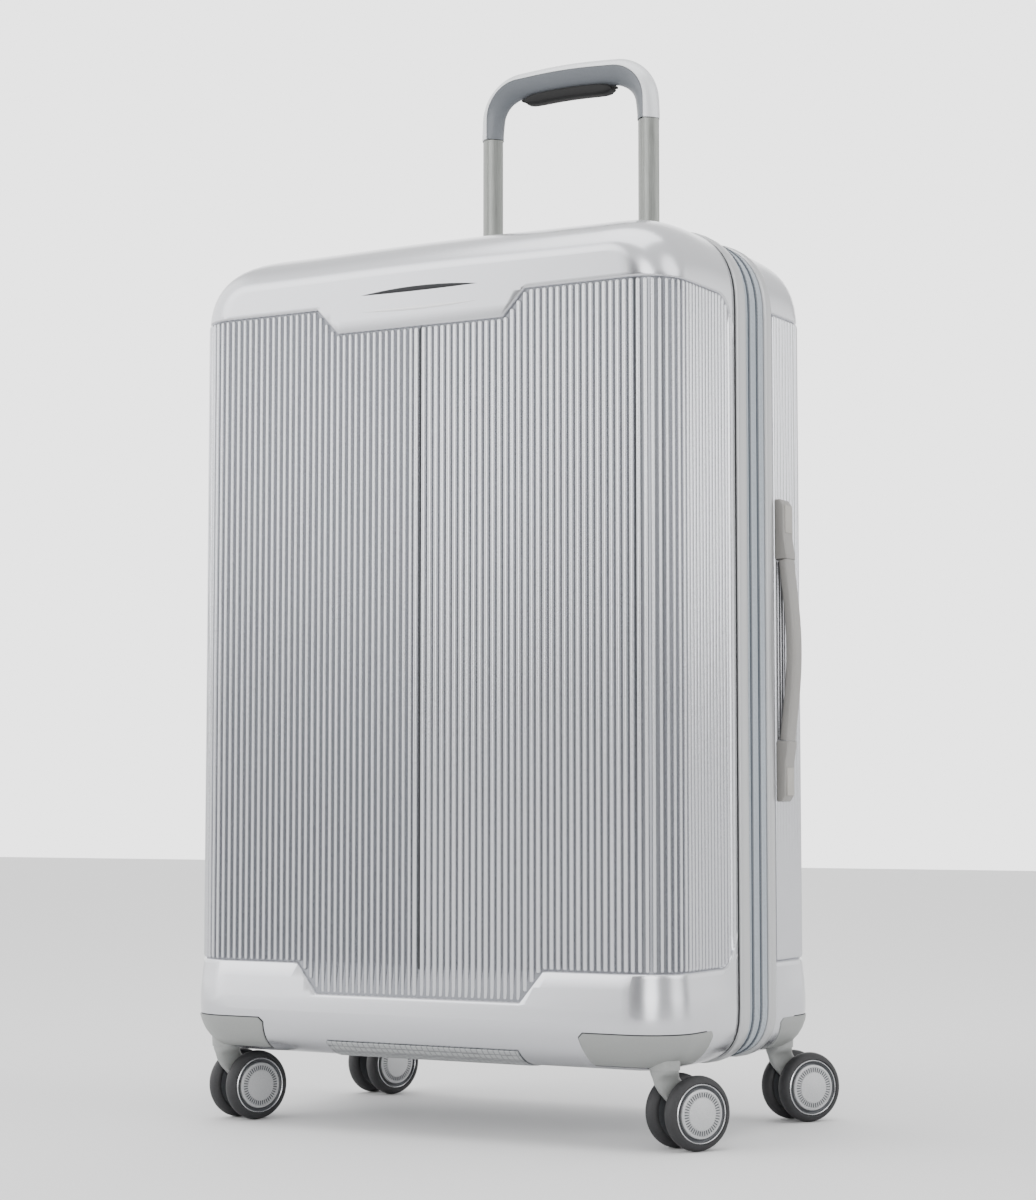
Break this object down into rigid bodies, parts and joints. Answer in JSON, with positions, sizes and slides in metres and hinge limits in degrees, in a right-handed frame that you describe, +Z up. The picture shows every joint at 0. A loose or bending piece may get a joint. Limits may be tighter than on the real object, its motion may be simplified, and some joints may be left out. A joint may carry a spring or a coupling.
{
  "type": "hard shell suitcase on wheels",
  "caption": "Hard shell spinner suitcase with ribbed half shells, zipper with depth expander, telescopic pull handle, carry handles and swivelling twin-wheel casters.",
  "frame": {"origin": "on the floor, under the middle of the whole part's box", "axes": "+Z up, +X to the side that carries the side handle, -Y the front face"},
  "size_m": [0.4887, 0.3056, 0.955],
  "materials": {
    "shell_polycarbonate": "metallic silver, satin",
    "rim_plastic": "satin",
    "zip_cloth": "woven",
    "lining_fabric": "woven",
    "anodised_aluminium": "brushed and anodised",
    "trim_plastic": "fine moulded grain",
    "carry_plastic": "satin",
    "grip_light": "satin",
    "grip_dark": "satin",
    "button_rubber": "matte",
    "bright_steel": "polished",
    "tyre_rubber": "matte",
    "hub_plastic": "silver paint"
  },
  "bodies": {
    "rear_half": {"rear_shell": "shell_polycarbonate", "rear_rim": "rim_plastic", "rear_zip_tape": "zip_cloth", "rear_lining": "lining_fabric", "expander_gusset": "lining_fabric", "outer_tube_left": "anodised_aluminium", "outer_tube_right": "anodised_aluminium", "tube_foot": "trim_plastic", "handle_cup": "trim_plastic", "side_handle_mount_a": "carry_plastic", "side_handle_mount_b": "carry_plastic", "top_handle_mount_a": "carry_plastic", "top_handle_mount_b": "carry_plastic", "lock_body": "trim_plastic", "housing_rear_left": "trim_plastic", "housing_rear_right": "trim_plastic"},
    "expansion_frame": {"middle_zip_band": "zip_cloth", "hinge_tape": "zip_cloth"},
    "front_half": {"front_shell": "shell_polycarbonate", "front_rim": "rim_plastic", "front_zip_tape": "zip_cloth", "front_lining": "lining_fabric", "bottom_grip": "trim_plastic", "zip_slider": "bright_steel", "housing_front_left": "trim_plastic", "housing_front_right": "trim_plastic"},
    "divider": {"divider": "lining_fabric"},
    "handle_middle": {"middle_tube_left": "anodised_aluminium", "middle_tube_right": "anodised_aluminium"},
    "handle_inner": {"inner_tube_left": "anodised_aluminium", "inner_tube_right": "anodised_aluminium", "grip_top": "grip_light", "grip_under": "grip_dark"},
    "release_button": {"release_button": "button_rubber"},
    "side_grip": {"side_handle_grip": "carry_plastic"},
    "top_grip": {"top_handle_grip": "carry_plastic"},
    "caster_front_right": {"fork_front_right": "trim_plastic"},
    "wheels_front_right": {"axle_front_right": "bright_steel", "tyre_front_right_a": "tyre_rubber", "tyre_front_right_b": "tyre_rubber", "hub_front_right_a": "hub_plastic", "hub_front_right_b": "hub_plastic"},
    "caster_front_left": {"fork_front_left": "trim_plastic"},
    "wheels_front_left": {"axle_front_left": "bright_steel", "tyre_front_left_a": "tyre_rubber", "tyre_front_left_b": "tyre_rubber", "hub_front_left_a": "hub_plastic", "hub_front_left_b": "hub_plastic"},
    "caster_rear_right": {"fork_rear_right": "trim_plastic"},
    "wheels_rear_right": {"axle_rear_right": "bright_steel", "tyre_rear_right_a": "tyre_rubber", "tyre_rear_right_b": "tyre_rubber", "hub_rear_right_a": "hub_plastic", "hub_rear_right_b": "hub_plastic"},
    "caster_rear_left": {"fork_rear_left": "trim_plastic"},
    "wheels_rear_left": {"axle_rear_left": "bright_steel", "tyre_rear_left_a": "tyre_rubber", "tyre_rear_left_b": "tyre_rubber", "hub_rear_left_a": "hub_plastic", "hub_rear_left_b": "hub_plastic"}
  },
  "joints": [
    {"name": "expansion_slide", "type": "slide", "parent": "rear_half", "child": "expansion_frame", "axis": [0, -1, 0], "range_m": [0, 0.038]},
    {"name": "lid_hinge", "type": "hinge", "parent": "expansion_frame", "child": "front_half", "pos_m": [-0.246, 0.003, 0.4], "axis": [0, 0, -1], "range_deg": [0, 140]},
    {"name": "divider_hinge", "type": "hinge", "parent": "expansion_frame", "child": "divider", "pos_m": [-0.246, 0.003, 0.4], "axis": [0, 0, -1], "range_deg": [0, 70]},
    {"name": "handle_middle_slide", "type": "slide", "parent": "rear_half", "child": "handle_middle", "axis": [0, 0, 1], "range_m": [0, 0.15]},
    {"name": "handle_inner_slide", "type": "slide", "parent": "handle_middle", "child": "handle_inner", "axis": [0, 0, 1], "range_m": [-0.195, 0]},
    {"name": "button_press", "type": "slide", "parent": "handle_inner", "child": "release_button", "axis": [0, 0, 1], "range_m": [0, 0.004], "stiffness_N_per_m": 800, "springref_m": -0.002},
    {"name": "side_grip_pull", "type": "slide", "parent": "rear_half", "child": "side_grip", "axis": [1, 0, 0], "range_m": [0, 0.01], "stiffness_N_per_m": 400, "springref_m": -0.003},
    {"name": "top_grip_pull", "type": "slide", "parent": "rear_half", "child": "top_grip", "axis": [0, 0, 1], "range_m": [0, 0.01], "stiffness_N_per_m": 400, "springref_m": -0.003},
    {"name": "swivel_front_right", "type": "hinge", "parent": "front_half", "child": "caster_front_right", "pos_m": [0.202, -0.122, 0.07], "axis": [0, 0, 1], "continuous": true},
    {"name": "roll_front_right", "type": "hinge", "parent": "caster_front_right", "child": "wheels_front_right", "pos_m": [0.21267, -0.10276, 0.0296], "axis": [-0.8746, 0.4848, 0], "continuous": true},
    {"name": "swivel_front_left", "type": "hinge", "parent": "front_half", "child": "caster_front_left", "pos_m": [-0.22, -0.122, 0.07], "axis": [0, 0, 1], "continuous": true},
    {"name": "roll_front_left", "type": "hinge", "parent": "caster_front_left", "child": "wheels_front_left", "pos_m": [-0.21176, -0.1016, 0.0296], "axis": [-0.9272, 0.3746, 0], "continuous": true},
    {"name": "swivel_rear_right", "type": "hinge", "parent": "rear_half", "child": "caster_rear_right", "pos_m": [0.202, 0.1, 0.07], "axis": [0, 0, 1], "continuous": true},
    {"name": "roll_rear_right", "type": "hinge", "parent": "caster_rear_right", "child": "wheels_rear_right", "pos_m": [0.21398, 0.11845, 0.0296], "axis": [-0.8387, 0.5446, 0], "continuous": true},
    {"name": "swivel_rear_left", "type": "hinge", "parent": "rear_half", "child": "caster_rear_left", "pos_m": [-0.22, 0.1, 0.07], "axis": [0, 0, 1], "continuous": true},
    {"name": "roll_rear_left", "type": "hinge", "parent": "caster_rear_left", "child": "wheels_rear_left", "pos_m": [-0.21357, 0.12104, 0.0296], "axis": [-0.9563, 0.2924, 0], "continuous": true}
  ],
  "couplings": [
    {"joint": "divider_hinge", "follows": "lid_hinge", "ratio": 0.5}
  ]
}
